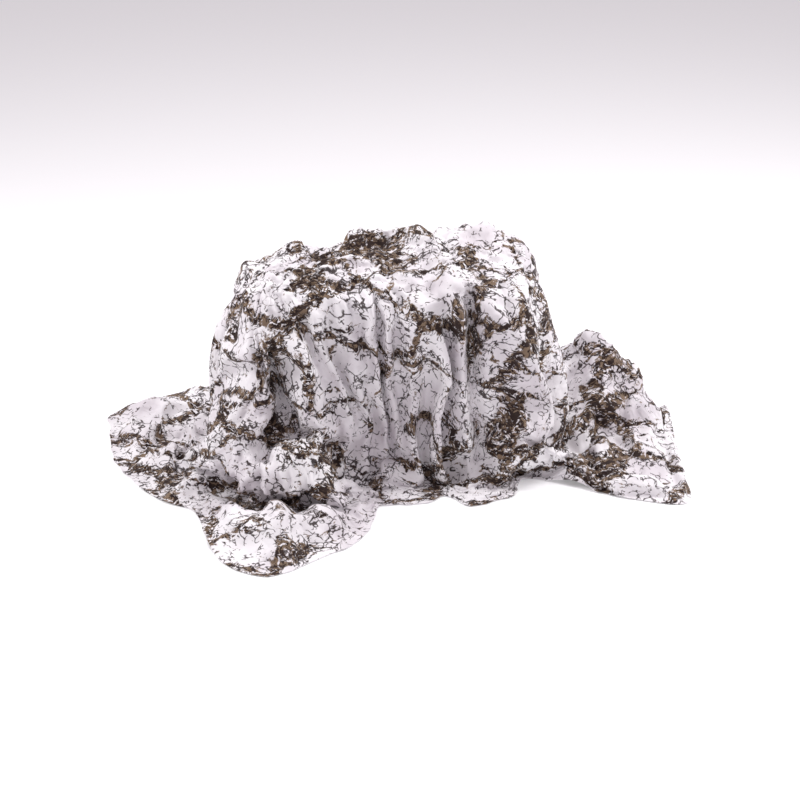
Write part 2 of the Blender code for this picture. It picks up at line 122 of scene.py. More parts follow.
# A row for each section of the skirt, going round from the front left corner.
# heading: which way the section runs out from the rim, in degrees from +X.
# knee: where the wall ends. lip: the edge of the shelf that the cloth makes there. tuck: the hollow that it
# goes back to under the shelf. swell: the apron's rise half way to the hem. Outs are distances from the
# rim.
SECTION_COLUMNS = (
    "side", "heading", "knee_out", "knee_z", "lip_out", "lip_z", "tuck_out", "tuck_z", "swell_z", "hem_out",
)
SECTIONS = (
    (0.00, 248, 0.080, 0.150, 0.155, 0.071, 0.100, 0.016, 0.020, 0.255),
    (0.05, 258, 0.085, 0.150, 0.172, 0.072, 0.118, 0.014, 0.038, 0.345),
    (0.10, 270, 0.075, 0.145, 0.180, 0.072, 0.128, 0.014, 0.046, 0.394),
    (0.16, 280, 0.070, 0.145, 0.180, 0.070, 0.132, 0.014, 0.042, 0.345),
    (0.22, 291, 0.070, 0.120, 0.178, 0.055, 0.130, 0.014, 0.036, 0.290),
    (0.28, 297, 0.065, 0.085, 0.135, 0.040, 0.130, 0.018, 0.016, 0.225),
    (0.34, 299, 0.046, 0.040, 0.074, 0.020, 0.098, 0.008, 0.008, 0.155),
    (0.45, 289, 0.034, 0.032, 0.050, 0.014, 0.072, 0.007, 0.010, 0.130),
    (0.60, 286, 0.032, 0.028, 0.046, 0.012, 0.062, 0.006, 0.010, 0.112),
    (0.70, 287, 0.032, 0.030, 0.042, 0.014, 0.054, 0.008, 0.008, 0.088),
    (0.76, 281, 0.036, 0.036, 0.050, 0.018, 0.068, 0.010, 0.012, 0.130),
    (0.84, 287, 0.050, 0.060, 0.075, 0.040, 0.060, 0.014, 0.012, 0.106),
    (0.90, 296, 0.058, 0.088, 0.090, 0.064, 0.046, 0.020, 0.014, 0.094),
    (0.95, 306, 0.064, 0.098, 0.086, 0.068, 0.030, 0.020, 0.010, 0.058),
    (1.00, 314, 0.070, 0.094, 0.088, 0.062, 0.022, 0.018, 0.008, 0.044),
    (1.05, 318, 0.082, 0.082, 0.106, 0.052, 0.050, 0.020, 0.008, 0.072),
    (1.12, 319, 0.105, 0.065, 0.125, 0.040, 0.104, 0.018, 0.008, 0.160),
    (1.20, 320, 0.115, 0.055, 0.140, 0.036, 0.165, 0.020, 0.012, 0.245),
    (1.28, 322, 0.120, 0.045, 0.165, 0.035, 0.200, 0.024, 0.024, 0.316),
    (1.36, 327, 0.125, 0.045, 0.180, 0.040, 0.235, 0.030, 0.024, 0.406),
    (1.45, 339, 0.125, 0.060, 0.180, 0.050, 0.240, 0.036, 0.030, 0.375),
    (1.60, 356, 0.125, 0.090, 0.185, 0.075, 0.235, 0.050, 0.040, 0.356),
    (1.75, 367, 0.122, 0.140, 0.190, 0.150, 0.250, 0.110, 0.046, 0.362),
    (1.88, 380, 0.120, 0.168, 0.190, 0.184, 0.266, 0.150, 0.046, 0.372),
    (2.00, 395, 0.115, 0.154, 0.180, 0.164, 0.246, 0.105, 0.030, 0.325),
    (2.12, 422, 0.095, 0.080, 0.130, 0.050, 0.160, 0.025, 0.012, 0.220),
    (2.30, 442, 0.070, 0.030, 0.100, 0.018, 0.125, 0.012, 0.012, 0.185),
    (2.50, 450, 0.060, 0.025, 0.090, 0.015, 0.115, 0.010, 0.010, 0.165),
    (2.70, 457, 0.070, 0.025, 0.100, 0.015, 0.130, 0.012, 0.012, 0.190),
    (2.88, 478, 0.085, 0.030, 0.120, 0.018, 0.160, 0.014, 0.015, 0.250),
    (3.00, 501, 0.100, 0.040, 0.140, 0.025, 0.190, 0.014, 0.012, 0.290),
    (3.15, 518, 0.105, 0.050, 0.160, 0.022, 0.220, 0.016, 0.018, 0.356),
    (3.40, 527, 0.102, 0.075, 0.155, 0.022, 0.216, 0.018, 0.020, 0.342),
    (3.65, 541, 0.100, 0.095, 0.150, 0.028, 0.196, 0.018, 0.020, 0.306),
    (3.80, 561, 0.098, 0.115, 0.148, 0.045, 0.168, 0.022, 0.018, 0.268),
    (3.90, 584, 0.088, 0.125, 0.142, 0.060, 0.138, 0.026, 0.018, 0.236),
    (3.96, 600, 0.080, 0.145, 0.148, 0.071, 0.105, 0.018, 0.018, 0.213),
)

# A row for each fold that runs down the wall: its side position, its half width, how far it stands out, or
# in if negative, the heights between which it shows, and how far it drifts along the rim on its way down.
PLEAT_COLUMNS = ("side", "half_width", "out", "top_z", "bottom_z", "drift")
PLEATS = (
    (0.005, 0.018, 0.022, 0.43, 0.08, -0.010),
    (0.055, 0.012, 0.012, 0.44, 0.16, -0.004),
    (0.100, 0.029, -0.078, 0.35, 0.07, 0.008),
    (0.154, 0.015, 0.044, 0.38, 0.05, 0.046),
    (0.192, 0.012, -0.020, 0.42, 0.06, 0.044),
    (0.236, 0.013, 0.010, 0.43, 0.05, 0.034),
    (0.290, 0.016, -0.016, 0.40, 0.05, 0.020),
    (0.350, 0.014, 0.016, 0.43, 0.03, 0.010),
    (0.448, 0.012, 0.020, 0.46, 0.03, 0.010),
    (0.470, 0.009, -0.032, 0.46, 0.07, 0.006),
    (0.500, 0.012, 0.018, 0.46, 0.12, 0.008),
    (0.540, 0.012, -0.018, 0.45, 0.16, 0.010),
    (0.572, 0.013, 0.022, 0.40, 0.05, 0.004),
    (0.622, 0.012, -0.026, 0.36, 0.04, 0.012),
    (0.610, 0.011, 0.010, 0.47, 0.26, 0.020),
    (0.668, 0.012, 0.036, 0.39, 0.05, 0.010),
    (0.706, 0.012, -0.028, 0.42, 0.04, 0.020),
    (0.742, 0.017, 0.030, 0.47, 0.10, 0.034),
    (0.788, 0.014, -0.042, 0.46, 0.04, 0.036),
    (0.830, 0.014, 0.012, 0.44, 0.10, 0.020),
    (0.880, 0.020, -0.014, 0.40, 0.12, 0.000),
    (0.950, 0.020, 0.012, 0.42, 0.12, 0.000),
    (1.020, 0.030, 0.012, 0.40, 0.10, 0.000),
    (1.200, 0.026, -0.016, 0.38, 0.08, 0.000),
    (1.450, 0.028, 0.012, 0.40, 0.12, 0.000),
    (1.700, 0.028, -0.018, 0.40, 0.16, 0.000),
    (2.150, 0.028, 0.022, 0.42, 0.08, 0.000),
    (2.330, 0.026, -0.020, 0.43, 0.03, 0.010),
    (2.480, 0.024, 0.018, 0.44, 0.03, -0.010),
    (2.620, 0.026, -0.022, 0.44, 0.03, 0.010),
    (2.780, 0.026, 0.020, 0.42, 0.03, 0.000),
    (3.050, 0.026, -0.018, 0.40, 0.06, 0.000),
    (3.300, 0.028, 0.016, 0.38, 0.08, 0.000),
    (3.600, 0.028, -0.016, 0.38, 0.09, 0.000),
    (3.800, 0.026, 0.014, 0.38, 0.10, 0.000),
)

# A row for each ridge that lies in the crown or on the apron: its two ends in plan, its half width and its
# height.
RIDGE_COLUMNS = ("x0", "y0", "x1", "y1", "half_width", "height")
CROWN_RIDGES = (
    (-0.26, -0.04, -0.12, 0.05, 0.020, 0.012),
    (-0.24, 0.10, -0.21, 0.115, 0.018, 0.018),
    (-0.30, -0.10, -0.10, -0.02, 0.012, 0.010),
    (-0.28, 0.02, -0.16, 0.08, 0.010, 0.010),
    (-0.05, -0.11, 0.01, 0.03, 0.010, 0.010),
    (-0.10, 0.08, 0.02, 0.12, 0.024, 0.032),
    (-0.16, -0.07, 0.02, 0.01, 0.022, 0.014),
    (0.02, 0.11, 0.06, 0.02, 0.024, 0.034),
    (0.06, 0.02, 0.10, -0.13, 0.022, 0.024),
    (0.08, 0.10, 0.19, 0.10, 0.036, 0.030),
    (0.12, 0.00, 0.21, 0.03, 0.024, 0.010),
)
APRON_RIDGES = (
    (-0.44, 0.14, -0.60, 0.20, 0.030, 0.022),
    (-0.42, 0.02, -0.60, 0.06, 0.026, 0.018),
    (-0.42, -0.08, -0.55, -0.10, 0.024, 0.018),
    (-0.40, -0.16, -0.46, -0.22, 0.020, 0.014),
    (-0.25, -0.28, -0.22, -0.46, 0.026, 0.020),
    (-0.33, -0.32, -0.36, -0.42, 0.030, 0.010),
    (-0.16, -0.32, -0.13, -0.40, 0.030, 0.010),
    (0.36, 0.085, 0.60, 0.135, 0.020, 0.034),
    (0.38, -0.010, 0.53, 0.060, 0.020, 0.032),
    (0.40, -0.080, 0.50, -0.060, 0.024, 0.014),
    (0.34, -0.150, 0.57, -0.222, 0.018, 0.022),
    (0.583, -0.190, 0.590, 0.050, 0.016, 0.020),
    (0.575, 0.120, 0.600, 0.170, 0.018, 0.036),
    (0.30, 0.24, 0.42, 0.28, 0.026, 0.016),
    (-0.20, 0.22, -0.26, 0.30, 0.026, 0.016),
    (-0.42, 0.20, -0.48, 0.28, 0.028, 0.018),
)

# A row for each lump of gathered cloth on the shelves round the foot of the wall: its place in plan, its
# half width and how far it stands over the shelf.
HEAP_COLUMNS = ("x", "y", "half_width", "height")
HEAPS = (
    (-0.350, -0.205, 0.040, 0.040),
    (-0.290, -0.265, 0.030, 0.030),
    (-0.205, -0.240, 0.042, 0.062),
    (-0.150, -0.265, 0.026, 0.018),
    (-0.235, -0.212, 0.018, 0.026),
    (-0.182, -0.268, 0.017, 0.026),
    (-0.248, -0.272, 0.018, 0.022),
    (-0.320, -0.235, 0.017, 0.020),
    (-0.375, -0.170, 0.018, 0.020),
    (0.252, -0.190, 0.016, 0.020),
    (0.312, -0.172, 0.016, 0.022),
    (0.285, -0.165, 0.032, 0.024),
    (0.345, -0.110, 0.032, 0.024),
    (0.385, 0.000, 0.030, 0.030),
    (0.420, 0.145, 0.045, 0.030),
    (0.480, 0.120, 0.025, 0.030),
)

# A row for each place that keeps its form while the cloth settles: where it is in plan, the height of its
# middle, its half width, how firmly it is held, how much of the spare cloth it keeps and how crumpled it is.
ANCHOR_COLUMNS = ("x", "y", "z", "half_width", "hold", "spare", "crumple")
ANCHORS = (
    (0.170, -0.165, 0.220, 0.100, 0.45, 0.2, 0.3),
    (0.150, -0.200, 0.060, 0.055, 0.80, 0.4, 0.6),
    (0.220, -0.180, 0.070, 0.055, 0.90, 0.5, 1.2),
    (0.285, -0.150, 0.060, 0.055, 0.94, 0.7, 2.2),
    (0.400, 0.130, 0.160, 0.060, 0.80, 0.8, 1.6),
    (0.490, 0.150, 0.130, 0.050, 0.90, 0.8, 1.6),
    (-0.215, -0.200, 0.250, 0.050, 0.65, 1.0, 1.0),
    (-0.205, -0.240, 0.120, 0.065, 0.92, 1.0, 2.4),
    (-0.350, -0.205, 0.110, 0.060, 0.90, 1.0, 2.0),
    (-0.290, -0.265, 0.080, 0.065, 0.92, 1.0, 2.4),
    (-0.265, -0.165, 0.250, 0.040, 0.65, 1.0, 1.2),
)

# The settling: how many steps, and how much longer the cloth is each way than the place it starts in.
STEPS = 24
SPARE_CLOTH = 0.21

# The share of a cell of the crumpling that slopes to its crease, coarse and fine, and how much of a coarse
# crease's depth lies below the smooth surface.
CELL_SLOPE, FINE_CELL_SLOPE = 0.45, 0.35
CREASE_SUNK = 0.6

# The cloth as Blender's cloth settings name it. They suit a sheet that keeps crisp creases.
CLOTH_SETTINGS = {
    "quality": 10,
    "mass": 0.5,
    "tension_stiffness": 80,
    "compression_stiffness": 80,
    "shear_stiffness": 20,
    "bending_stiffness": 30,
    "tension_damping": 5,
    "compression_damping": 5,
    "shear_damping": 5,
    "bending_damping": 0.5,
    "air_damping": 2,
    "pin_stiffness": 0.1,
}

# How far apart the cloth keeps from itself.
SELF_DISTANCE = 0.003

# The hidden thing under the cloth, as the lowest and highest corner of its box, and how much of the depth
# that the cloth would sink into it is left.
UNDER_LOW, UNDER_HIGH = np.array([-0.279, -0.034, -1.0]), np.array([0.253, 0.211, 0.396])
SINK_LEFT = 0.15

# The camera: what it looks at, how far away and how high it stands, and its focal length in widths of its
# picture.
CAMERA_TARGET = Vector((0.02692, 0.08524, 0.12))
CAMERA_DISTANCE, CAMERA_ELEVATION = 3.3, math.radians(25)
FOCAL_WIDTHS = 1541 / 800

# The room: its light's colour and strength, and the floor's size, colour and the light of its own that keeps
# the far floor as pale as the near one.
ROOM_COLOUR, ROOM_STRENGTH = (1.0, 0.905, 0.975), 0.46
FLOOR_SIZE, FLOOR_COLOUR, FLOOR_GLOW = 60, (0.88, 0.88, 0.89), 0.20

# A row for each soft studio light: its name, place, width and power. They all face LIGHTS_FACE.
LIGHTS_FACE = Vector((0, 0.05, 0.2))
LIGHTS = (
    ("left", (-2.3, -0.3, 2.0), 0.8, 38),
    ("right", (2.3, 0.1, 2.1), 1.2, 42),
    ("top", (0.6, 0.4, 4.2), 2.4, 64),
)

# The print's colours: the cloth's own from dim to pale, the bands' brown from deep to light, the near-black
# in them, and the lines', with how much they cover.
CLOTH_DIM, CLOTH_PALE = (0.70, 0.655, 0.69, 1), (0.87, 0.845, 0.865, 1)
BROWN_DEEP, BROWN_LIGHT = (0.110, 0.072, 0.047, 1), (0.290, 0.208, 0.142, 1)
BAND_DARK = (0.026, 0.014, 0.011, 1)
LINE_DARK, LINE_COVER = (0.028, 0.016, 0.014, 1), 0.94

# A row for each kind of loose stroke: how many to the metre, how much it is drawn out along X, its thickness,
# and how seldom it is seen.
STROKE_COLUMNS = ("scale", "stretch", "thickness", "seldom")
STROKES = (
    (30, 0.8, 0.020, 0.56),
    (50, 0.6, 0.026, 0.57),
    (74, 1.0, 0.034, 0.62),
)

# The weave's threads to the metre, as the scale of a wave texture.
WEAVE_SCALE = 260.0


# ---------------------------------------------------------------- the sheet's folds


def named(names, rows):
    """A table's rows, with a name for each of their values."""
    return [SimpleNamespace(**dict(zip(names, row, strict=True))) for row in rows]


def smooth(low, high, value):
    """0 below low, 1 above high, and an even slope between them."""
    share = np.clip((value - low) / (high - low), 0, 1)
    return share * share * (3 - 2 * share)


def hermite(start, end, slope_0, slope_1, share):
    """The cubic curve between two values with these slopes."""
    square, cube = share**2, share**3
    return (
        start * (2 * cube - 3 * square + 1)
        + slope_0 * (cube - 2 * square + share)
        + end * (3 * square - 2 * cube)
        + slope_1 * (cube - square)
    )


def round_the_rim(name, side):
    """The sections' column of this name at each of these side positions, along a smooth closed curve."""
    sections = named(SECTION_COLUMNS, SECTIONS)
    knots = np.array([section.side for section in sections])
    values = np.array([getattr(section, name) for section in sections], float)
    per_turn = 360 if name == "heading" else 0
    knots = np.concatenate([knots[-2:] - 4, knots, knots[:2] + 4])
    values = np.concatenate([values[-2:] - per_turn, values, values[:2] + per_turn])
    slopes = np.gradient(values, knots)
    index = np.clip(np.searchsorted(knots, side, side="right") - 1, 0, len(knots) - 2)
    step = knots[index + 1] - knots[index]
    share = (side - knots[index]) / step
    return hermite(values[index], values[index + 1], slopes[index] * step, slopes[index + 1] * step, share)


def rim_directions(side, corner_share):
    """For each side position: its side's number, how far along it lies, and the directions outward and
    square to its side, in radians. The outward one turns through 45 degrees in corner_share of either end."""
    number, along = np.divmod(np.asarray(side, float) % 4, 1)
    bend = np.clip(1 - along / corner_share, 0, 1) - np.clip(1 - (1 - along) / corner_share, 0, 1)
    facing = np.radians(-90 + 90 * number)
    return number, along, facing - np.radians(45 * bend), facing


def rim_point(side):
    """The rim's place in plan at each of these side positions."""
    inner = np.array([(RIM_RIGHT - RIM_LEFT) / 2, (RIM_BACK - RIM_FRONT) / 2]) - RIM_RADIUS
    number, along, outward, facing = rim_directions(side, CORNER_SHARE)
    straight = np.clip((along - CORNER_SHARE) / (1 - 2 * CORNER_SHARE), 0, 1) * 2 - 1
    reach = np.where(number % 2 == 0, inner[1], inner[0])
    run = straight * np.where(number % 2 == 0, inner[0], inner[1])
    x = reach * np.cos(facing) - run * np.sin(facing) + RIM_RADIUS * np.cos(outward)
    y = reach * np.sin(facing) + run * np.cos(facing) + RIM_RADIUS * np.sin(outward)
    return RIM_MIDDLE + np.stack([x, y], -1)


def ridge_height(x, y, ridges):
    """How high the highest of these ridges stands at each place."""
    height = np.zeros_like(x)
    for ridge in named(RIDGE_COLUMNS, ridges):
        run_x, run_y = ridge.x1 - ridge.x0, ridge.y1 - ridge.y0
        share = ((x - ridge.x0) * run_x + (y - ridge.y0) * run_y) / (run_x**2 + run_y**2)
        share = np.clip(share, 0, 1)
        away = np.hypot(x - ridge.x0 - share * run_x, y - ridge.y0 - share * run_y)
        height = np.maximum(height, ridge.height * np.exp(-((away / ridge.half_width) ** 2)))
    return height


def heap_height(x, y):
    """How high the heaps stand at each place."""
    height = np.zeros_like(x)
    for heap in named(HEAP_COLUMNS, HEAPS):
        height += heap.height * np.exp(-((np.hypot(x - heap.x, y - heap.y) / heap.half_width) ** 2))
    return height


def pleat_out(side, z, rim_z):
    """How far the pleats push the wall out, at each height and side position."""
    out = np.zeros_like(z)
    fallen = np.clip((rim_z - z) / rim_z, 0, 1)
    side_length = np.where(side % 2 < 1, RIM_RIGHT - RIM_LEFT, RIM_BACK - RIM_FRONT)
    for pleat in named(PLEAT_COLUMNS, PLEATS):
        away = ((side - pleat.side + 2) % 4 - 2) * side_length - pleat.drift * fallen
        show = smooth(0, 0.10, pleat.top_z - z) * smooth(-0.03, 0.03, z - pleat.bottom_z)
        out += pleat.out * show * np.exp(-((away / pleat.half_width) ** 2))
    return out


def crown_height(x, y, ring):
    """The crown's height in plan. ring is 0 at its middle and 1 at the rim."""
    front_left, front_right, back_right, back_left = RIM_HEIGHTS
    across = np.clip((x - RIM_LEFT) / (RIM_RIGHT - RIM_LEFT), 0, 1)
    back = np.clip((y - RIM_FRONT) / (RIM_BACK - RIM_FRONT), 0, 1)
    front_z = front_left + (front_right - front_left) * across
    back_z = back_left + (back_right - back_left) * across
    level = front_z + (back_z - front_z) * back
    return level + CROWN_RISE * (1 - ring**3) + ridge_height(x, y, CROWN_RIDGES) * (1 - 0.4 * ring**4)


def crown_points():
    """The crown's grid of points, front row first, and the side position that each lies towards."""
    across = np.linspace(-1, 1, CROWN_ACROSS + 1)
    deep = np.linspace(-1, 1, CROWN_DEEP + 1)
    a, b = np.meshgrid(across, deep)
    a, b = a - CROWDING * (1 - b) / 4 * (1 - a**2), b - CROWDING * (1 - a) / 4 * (1 - b**2)
    ring = np.maximum(abs(a), abs(b))
    safe = np.where(ring == 0, 1, ring)
    u, v = a / safe, b / safe
    sides = [(u + 1) / 2, 1 + (v + 1) / 2, 2 + (1 - u) / 2]
    side = np.select([v == -1, u == 1, v == 1], sides, 3 + (1 - v) / 2)
    place = RIM_MIDDLE + (rim_point(side) - RIM_MIDDLE) * ring[..., None]
    z = crown_height(place[..., 0], place[..., 1], ring)
    return np.concatenate([place, z[..., None]], -1), side


def border(grid):
    """The border of a grid, going round from its first corner to just before it."""
    return np.concatenate([grid[0, :-1], grid[:-1, -1], grid[-1, :0:-1], grid[:0:-1, 0]])


def stretch_ends():
    """The number of the skirt's row at the end of each stretch."""
    return np.cumsum([stretch.rows for stretch in named(STRETCH_COLUMNS, STRETCHES)])


def down_the_cloth(name, row):
    """The stretches' column of this name, at the crown for row 0 and at each of these rows of the skirt."""
    values = [getattr(stretch, name) for stretch in named(STRETCH_COLUMNS, STRETCHES)]
    return np.interp(row, [0, *stretch_ends()], [getattr(CROWN, name), *values])


def skirt_knots(side, rim_z):
    """The skirt's knots at each side position, as (out, z) pairs: the rim, and the end of each stretch.

    One more before them and one after them only steer the curve, over the crown and past the hem."""
    at = {name: round_the_rim(name, side) for name in SECTION_COLUMNS[2:]}
    zero = np.zeros_like(rim_z)
    swell_out = (at["tuck_out"] + at["hem_out"]) / 2
    waist_out = SHOULDER_OUT + 0.45 * (at["knee_out"] - SHOULDER_OUT)
    knots = [
        (zero - 0.03, rim_z + 0.004),
        (zero, rim_z),
        (zero + SHOULDER_OUT, rim_z - SHOULDER_DROP),
        (waist_out, (rim_z + at["knee_z"]) / 2),
        (at["knee_out"], at["knee_z"]),
        (at["lip_out"], at["lip_z"]),
        (at["tuck_out"], at["tuck_z"]),
        (swell_out, at["swell_z"]),
        (at["hem_out"], zero + FLOOR_GAP),
        (2 * at["hem_out"] - swell_out, zero + FLOOR_GAP),
    ]
    return [np.stack(knot, -1) for knot in knots]


def skirt_profile(side, rim_z):
    """The skirt's rows from just under the rim to the hem, as (out, z) pairs at each side position."""
    knots = skirt_knots(side, rim_z)
    rows = []
    for step, stretch in enumerate(named(STRETCH_COLUMNS, STRETCHES), start=1):
        before, here, there, after = knots[step - 1 : step + 3]
        length = np.linalg.norm(there - here, axis=1, keepdims=True)
        slopes = []
        for slope in ((there - before) / 2, (after - here) / 2):
            # A slope far longer than its own stretch would make the curve loop.
            slopes.append(slope * np.minimum(1, 1.2 * length / np.linalg.norm(slope, axis=1, keepdims=True)))
        for share in np.arange(1, stretch.rows + 1) / stretch.rows:
            row = hermite(here, there, *slopes, share)
            if stretch.name == "hem":
                fallen = min(share / (1 - HEM_LIES), 1)
                row[:, 1] = hermite(here[:, 1], there[:, 1], slopes[0][:, 1], 0, fallen)
            rows.append(row)
    return np.stack(rows)


def skirt_points(side):
    """The skirt under the rim at each side position, as rows from just under the rim to the hem."""
    rim = rim_point(side)
    rim_z = crown_height(rim[:, 0], rim[:, 1], np.ones(len(side)))
    profile = skirt_profile(side, rim_z)
    z = profile[..., 1]
    out = profile[..., 0] + pleat_out(side, z, rim_z)
    heading = np.radians(round_the_rim("heading", side))
    x = rim[:, 0] + out * np.cos(heading)
    y = rim[:, 1] + out * np.sin(heading)
    waist, knee, lip, tuck = stretch_ends()[1:5]
    row = np.arange(len(z))[:, None]
    z = z + heap_height(x, y) * smooth(waist, knee, row) * (1 - smooth(lip, tuck, row))
    z = z + ridge_height(x, y, APRON_RIDGES) * smooth(tuck - 1, tuck + 1, row)
    hem_ends = zip(x[-1], y[-1])
    uneven = np.array([noise.noise(Vector((x_end, y_end, 0.4)) / HEM_WAVE) for x_end, y_end in hem_ends])
    uneven = HEM_UNEVEN * uneven * smooth(tuck, len(z), row)
    return np.stack([x + uneven * np.cos(heading), y + uneven * np.sin(heading), z], -1)


def flat_places(crown, side):
    """Where each point of the crown and of the skirt's rows lies in the flat cloth, and how far it is from
    the hem, in metres."""
    rim = rim_point(side)
    rim_z = crown_height(rim[:, 0], rim[:, 1], np.ones(len(side)))
    profile = skirt_profile(side, rim_z)
    first = np.stack([np.zeros_like(rim_z), rim_z], -1)[None]
    length = np.cumsum(np.linalg.norm(np.diff(np.concatenate([first, profile]), axis=0), axis=-1), axis=0)
    outward = rim_directions(side, 0.42)[2]
    skirt = rim + length[..., None] * np.stack([np.cos(outward), np.sin(outward)], -1)
    flat = np.concatenate([crown[..., :2].reshape(-1, 2), skirt.reshape(-1, 2)])
    to_hem = np.concatenate([np.full(crown.shape[0] * crown.shape[1], 1.0), (length[-1] - length).ravel()])
    return flat, to_hem


def outward_normals(points, quads):
    across = np.cross(points[quads[:, 2]] - points[quads[:, 0]], points[quads[:, 3]] - points[quads[:, 1]])
    normals = np.zeros_like(points)
    for corner in quads.T:
        np.add.at(normals, corner, across)
    return normals / np.linalg.norm(normals, axis=1, keepdims=True)


def crumpled(points, quads, amount):
    """The points pushed in along the borders of packings of cells in space, which leaves flat facets
    between creases."""
    push = np.zeros(len(points))
    for size, depth in CRUMPLES:
        for number, point in enumerate(points):
            near, second = noise.voronoi(Vector(point) / size)[0][:2]
            push[number] += depth * (smooth(0, CELL_SLOPE, second - near) - CREASE_SUNK)
    return points + outward_normals(points, quads) * (amount * push)[:, None]


def sheet_before():
    """The sheet before it settles: its points and quads, and for each point its place in the flat cloth, its
    distance to the hem, its hold, and its shares of the spare cloth and of the crumpling."""
    crown, side = crown_points()
    deep, across = CROWN_DEEP + 1, CROWN_ACROSS + 1
    index = np.arange(deep * across).reshape(deep, across)
    rows = skirt_points(border(side))
    around = rows.shape[1]
    rings = [border(index)] + [deep * across + around * n + np.arange(around) for n in range(len(rows))]
    quads = [
        (index[j, i], index[j, i + 1], index[j + 1, i + 1], index[j + 1, i])
        for j in range(deep - 1)
        for i in range(across - 1)
    ]
    for inner, outer in zip(rings, rings[1:]):
        quads += zip(inner, outer, np.roll(outer, -1), np.roll(inner, -1))
    quads = np.array(quads)
    points = np.concatenate([crown.reshape(-1, 3), rows.reshape(-1, 3)])
    row = np.concatenate([np.zeros(deep * across), np.repeat(np.arange(len(rows)) + 1, around)])
    hold, spare, crumple = (down_the_cloth(name, row) for name in ("hold", "spare", "crumple"))
    for anchor in named(ANCHOR_COLUMNS, ANCHORS):
        away = np.linalg.norm(points - (anchor.x, anchor.y, anchor.z), axis=1) / anchor.half_width
        near = np.exp(-(away**4))
        hold = np.maximum(hold, anchor.hold * near)
        spare = spare * (1 - (1 - anchor.spare) * near)
        crumple = np.maximum(crumple, anchor.crumple * near)
    points = crumpled(points, quads, crumple)
    points[:, 2] = FLOOR_GAP + np.maximum(points[:, 2] - FLOOR_GAP - SETTLE, 0)
    flat, to_hem = flat_places(crown, border(side))
    return SimpleNamespace(
        points=points - MIDDLE,
        quads=quads,
        flat=flat,
        to_hem=to_hem,
        hold=hold,
        spare=spare,
        crumple=crumple,
    )


# ---------------------------------------------------------------- settling


def mesh_object(name, points, quads):
    mesh = bpy.data.meshes.new(name)
    mesh.from_pydata(points.tolist(), [], quads.tolist())
    mesh.validate()
    mesh.polygons.foreach_set("use_smooth", [True] * len(mesh.polygons))
    thing = bpy.data.objects.new(name, mesh)
    bpy.context.scene.collection.objects.link(thing)
    return thing


def lay_flat(cloth, sheet):
    """Gives the cloth's mesh the place of each point in the flat cloth, its distance from the hem, and its
    place before the cloth settled, through which the print is laid so that it has one scale all over."""
    corners = np.empty(len(cloth.data.loops), int)
    cloth.data.loops.foreach_get("vertex_index", corners)
    hem = np.stack([sheet.to_hem, np.zeros_like(sheet.to_hem)], -1)
    for name, places in (("flat", sheet.flat / FLAT_WIDTH + 0.5), ("hem", hem)):
        layer = cloth.data.uv_layers.new(name=name)
        layer.data.foreach_set("uv", places[corners].ravel())
    start = cloth.data.attributes.new("start", "FLOAT_VECTOR", "POINT")
    start.data.foreach_set("vector", sheet.points.ravel())


def weight_group(thing, name, weights):
    group = thing.vertex_groups.new(name=name)
    for number, weight in enumerate(weights.tolist()):
        group.add([number], weight, "REPLACE")


def settled(sheet):
    """The points after the cloth, cut larger than its place, has gathered the spare cloth in folds."""
    cloth = mesh_object("settling", sheet.points, sheet.quads)
    weight_group(cloth, "hold", sheet.hold)
    weight_group(cloth, "snug", 1 - sheet.spare)
    modifier = cloth.modifiers.new("settle", "CLOTH")
    settings = modifier.settings
    for name, value in CLOTH_SETTINGS.items():
        setattr(settings, name, value)
    settings.vertex_group_mass = "hold"
    settings.vertex_group_shrink = "snug"
    settings.shrink_min = -SPARE_CLOTH
    settings.shrink_max = 0
    collisions = modifier.collision_settings
    collisions.use_collision = False
    collisions.use_self_collision = True
    collisions.self_distance_min = SELF_DISTANCE
    collisions.collision_quality = 3
    modifier.point_cache.frame_start = 1
    modifier.point_cache.frame_end = STEPS
    scene = bpy.context.scene
    for step in range(1, STEPS + 1):
        scene.frame_set(step)
    result = cloth.evaluated_get(bpy.context.evaluated_depsgraph_get()).to_mesh()
    moved = np.empty(len(sheet.points) * 3)
    result.vertices.foreach_get("co", moved)
    scene.frame_set(1)
    bpy.data.objects.remove(cloth)
    return resting(moved.reshape(-1, 3))


def resting(points):
    """The points, lifted out of the floor and nearly out of the hidden thing, along its nearest face."""
    points = points.copy()
    points[:, 2] = np.maximum(points[:, 2], FLOOR_GAP)
    depths = np.concatenate([points - UNDER_LOW, UNDER_HIGH - points], axis=1)
    nearest = depths.argmin(axis=1)
    sunk = np.maximum(depths.min(axis=1), 0) * (1 - SINK_LEFT)
    ways = np.concatenate([-np.eye(3), np.eye(3)])
    return points + ways[nearest] * sunk[:, None]


# ---------------------------------------------------------------- materials


